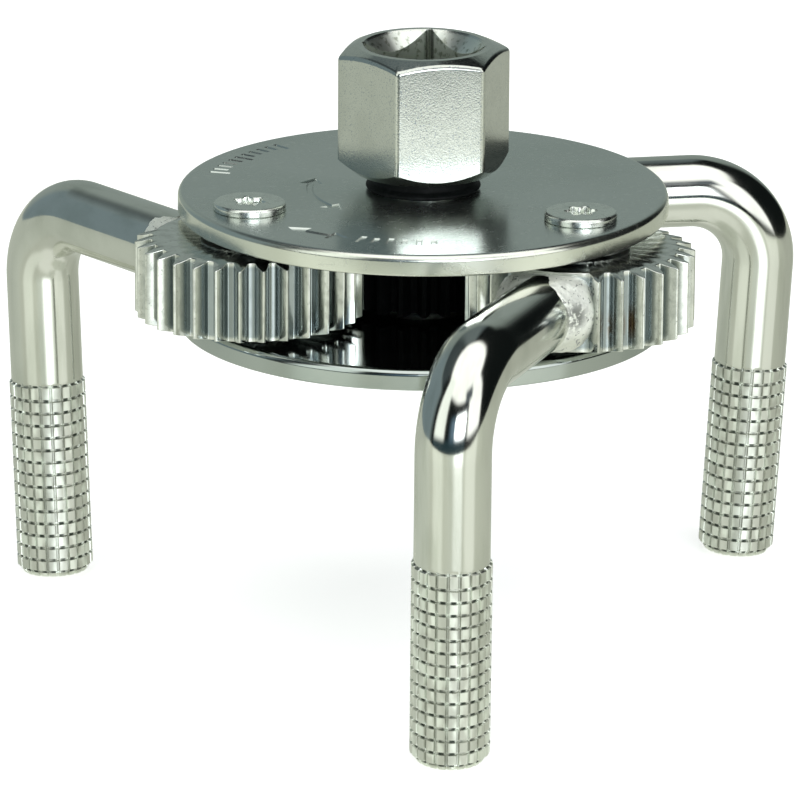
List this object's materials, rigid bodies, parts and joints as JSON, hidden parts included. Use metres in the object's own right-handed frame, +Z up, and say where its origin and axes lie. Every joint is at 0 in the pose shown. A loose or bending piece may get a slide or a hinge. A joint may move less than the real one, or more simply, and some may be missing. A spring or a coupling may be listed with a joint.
{
  "type": "oil filter wrench",
  "caption": "Two-way oil filter wrench: a hexagon head with a square socket turns gears between two round plates that swing bent knurled legs to grip a filter.",
  "frame": {"origin": "centre of the square socket's floor, on the drive axis", "axes": "+Z up along the drive axis, out of the socket; X and Y square to the socket's walls"},
  "size_m": [0.1085, 0.1144, 0.0867],
  "materials": {
    "plate_steel": "satin plated",
    "plated_steel": "bright zinc plated",
    "head_steel": "plated, grainy",
    "weld": "plated weld metal",
    "black_oxide": "black oxide",
    "black_polymer": "matt"
  },
  "bodies": {
    "housing": {"top_plate": "plate_steel", "bottom_plate": "plate_steel", "pivot_screw_1": "plated_steel", "pivot_sleeve_1": "black_oxide", "pivot_screw_2": "plated_steel", "pivot_sleeve_2": "black_oxide", "pivot_screw_3": "plated_steel", "pivot_sleeve_3": "black_oxide"},
    "drive": {"drive_head": "head_steel", "neck_collar": "black_polymer", "sun_gear": "black_oxide", "spindle_washer": "black_oxide", "snap_ring": "black_oxide"},
    "leg_1": {"leg_gear_1": "plated_steel", "leg_rod_1": "plated_steel", "weld_bead_1": "weld", "washer_top_1": "plated_steel", "washer_bottom_1": "plated_steel"},
    "leg_2": {"leg_gear_2": "plated_steel", "leg_rod_2": "plated_steel", "weld_bead_2": "weld", "washer_top_2": "plated_steel", "washer_bottom_2": "plated_steel"},
    "leg_3": {"leg_gear_3": "plated_steel", "leg_rod_3": "plated_steel", "weld_bead_3": "weld", "washer_top_3": "plated_steel", "washer_bottom_3": "plated_steel"}
  },
  "joints": [
    {"name": "drive_spin", "type": "hinge", "parent": "housing", "child": "drive", "pos_m": [0, 0, -0.0075], "axis": [0, 0, 1], "range_deg": [-240, 52]},
    {"name": "leg_1_swing", "type": "hinge", "parent": "housing", "child": "leg_1", "pos_m": [0.01909, 0.01909, -0.017], "axis": [0, 0, 1], "range_deg": [-42, 193]},
    {"name": "leg_2_swing", "type": "hinge", "parent": "housing", "child": "leg_2", "pos_m": [-0.02608, 0.00699, -0.017], "axis": [0, 0, 1], "range_deg": [-42, 193]},
    {"name": "leg_3_swing", "type": "hinge", "parent": "housing", "child": "leg_3", "pos_m": [0.00699, -0.02608, -0.017], "axis": [0, 0, 1], "range_deg": [-42, 193]}
  ],
  "couplings": [
    {"joint": "leg_1_swing", "follows": "drive_spin", "ratio": -0.8},
    {"joint": "leg_2_swing", "follows": "drive_spin", "ratio": -0.8},
    {"joint": "leg_3_swing", "follows": "drive_spin", "ratio": -0.8}
  ]
}
